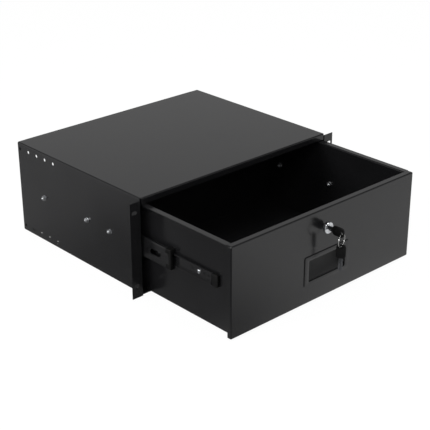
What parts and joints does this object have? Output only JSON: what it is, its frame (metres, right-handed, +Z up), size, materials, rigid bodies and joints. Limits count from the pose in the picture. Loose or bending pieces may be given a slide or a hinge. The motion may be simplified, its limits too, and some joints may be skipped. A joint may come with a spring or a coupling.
{
  "type": "sliding rack drawer",
  "caption": "Black sheet-steel rack drawer on ball-bearing slides, with mounting ears, recessed pull and keyed cam lock.",
  "frame": {"origin": "centre of the four rack slots, on the front face of the ears", "axes": "+X to the right seen from the front, +Y into the rack, +Z up"},
  "size_m": [0.4826, 0.6013, 0.177],
  "materials": {
    "black_paint": "smooth black powder coat on sheet steel",
    "black_cast_pull": "smooth black coat on die-cast zinc",
    "black_rail": "thin black electrocoat on rolled steel",
    "zinc_plate": "bright zinc plate",
    "chrome": "bright chrome plate",
    "nickel": "polished nickel plate",
    "ball_steel": "ground bearing steel",
    "cage_steel": "pressed zinc plated strip",
    "black_plastic": "moulded black plastic"
  },
  "bodies": {
    "case": {"case_shell": "black_paint", "front_bottom_tie": "black_paint", "rear_bottom_tie": "black_paint", "lock_strike": "black_paint", "left_case_rail": "black_rail", "left_case_rail_screws": "zinc_plate", "left_case_rail_nuts": "zinc_plate", "right_case_rail": "black_rail", "right_case_rail_screws": "zinc_plate", "right_case_rail_nuts": "zinc_plate"},
    "drawer": {"drawer_tub": "black_paint", "drawer_rear_wall": "black_paint", "drawer_front_panel": "black_paint", "pull": "black_cast_pull", "pull_screws": "zinc_plate", "lock_barrel": "chrome", "lock_nut": "zinc_plate", "left_drawer_rail": "black_rail", "left_drawer_rail_bumper": "black_plastic", "left_drawer_rail_screws": "zinc_plate", "left_drawer_rail_nuts": "zinc_plate", "right_drawer_rail": "black_rail", "right_drawer_rail_bumper": "black_plastic", "right_drawer_rail_screws": "zinc_plate", "right_drawer_rail_nuts": "zinc_plate"},
    "lock_core": {"lock_plug": "chrome", "lock_cam": "zinc_plate", "cam_bolt": "zinc_plate"},
    "key": {"key_blade": "nickel", "key_head": "black_plastic"},
    "ring": {"key_ring": "nickel"},
    "spare_key": {"spare_key_blade": "nickel", "spare_key_head": "black_plastic"},
    "left_middle": {"left_middle_rail": "black_rail", "left_middle_bumper": "black_plastic"},
    "left_outer_cage": {"left_outer_ball_cage": "cage_steel", "left_outer_balls": "ball_steel"},
    "left_inner_cage": {"left_inner_ball_cage": "cage_steel", "left_inner_balls": "ball_steel"},
    "left_lever": {"left_release_lever": "black_plastic"},
    "right_middle": {"right_middle_rail": "black_rail", "right_middle_bumper": "black_plastic"},
    "right_outer_cage": {"right_outer_ball_cage": "cage_steel", "right_outer_balls": "ball_steel"},
    "right_inner_cage": {"right_inner_ball_cage": "cage_steel", "right_inner_balls": "ball_steel"},
    "right_lever": {"right_release_lever": "black_plastic"}
  },
  "joints": [
    {"name": "drawer_slide", "type": "slide", "parent": "case", "child": "drawer", "axis": [0, -1, 0], "range_m": [-0.21, 0.09]},
    {"name": "left_middle_slide", "type": "slide", "parent": "case", "child": "left_middle", "axis": [0, -1, 0], "range_m": [-0.105, 0.045]},
    {"name": "left_outer_cage_slide", "type": "slide", "parent": "case", "child": "left_outer_cage", "axis": [0, -1, 0], "range_m": [-0.0525, 0.0225]},
    {"name": "left_inner_cage_slide", "type": "slide", "parent": "case", "child": "left_inner_cage", "axis": [0, -1, 0], "range_m": [-0.1575, 0.0675]},
    {"name": "left_lever_press", "type": "hinge", "parent": "drawer", "child": "left_lever", "pos_m": [-0.208, -0.019, 0.0013], "axis": [1, 0, 0], "range_deg": [-5, 5]},
    {"name": "right_middle_slide", "type": "slide", "parent": "case", "child": "right_middle", "axis": [0, -1, 0], "range_m": [-0.105, 0.045]},
    {"name": "right_outer_cage_slide", "type": "slide", "parent": "case", "child": "right_outer_cage", "axis": [0, -1, 0], "range_m": [-0.0525, 0.0225]},
    {"name": "right_inner_cage_slide", "type": "slide", "parent": "case", "child": "right_inner_cage", "axis": [0, -1, 0], "range_m": [-0.1575, 0.0675]},
    {"name": "right_lever_press", "type": "hinge", "parent": "drawer", "child": "right_lever", "pos_m": [0.208, -0.019, 0.0013], "axis": [1, 0, 0], "range_deg": [-5, 5]},
    {"name": "lock_turn", "type": "hinge", "parent": "drawer", "child": "lock_core", "pos_m": [0, -0.21, 0.0394], "axis": [0, -1, 0], "range_deg": [0, 90]},
    {"name": "key_slide", "type": "slide", "parent": "lock_core", "child": "key", "axis": [0, -1, 0], "range_m": [0, 0.03]},
    {"name": "ring_swing", "type": "hinge", "parent": "key", "child": "ring", "pos_m": [0, -0.2399, 0.03785], "axis": [0.9659, 0.2588, 0], "range_deg": [-40, 10]},
    {"name": "spare_key_swing", "type": "hinge", "parent": "ring", "child": "spare_key", "pos_m": [0, -0.2399, 0.01585], "axis": [0.9659, 0.2588, 0], "range_deg": [-60, 10]}
  ],
  "couplings": [
    {"joint": "left_middle_slide", "follows": "drawer_slide", "ratio": 0.5},
    {"joint": "left_outer_cage_slide", "follows": "drawer_slide", "ratio": 0.25},
    {"joint": "left_inner_cage_slide", "follows": "drawer_slide", "ratio": 0.75},
    {"joint": "right_middle_slide", "follows": "drawer_slide", "ratio": 0.5},
    {"joint": "right_outer_cage_slide", "follows": "drawer_slide", "ratio": 0.25},
    {"joint": "right_inner_cage_slide", "follows": "drawer_slide", "ratio": 0.75}
  ]
}
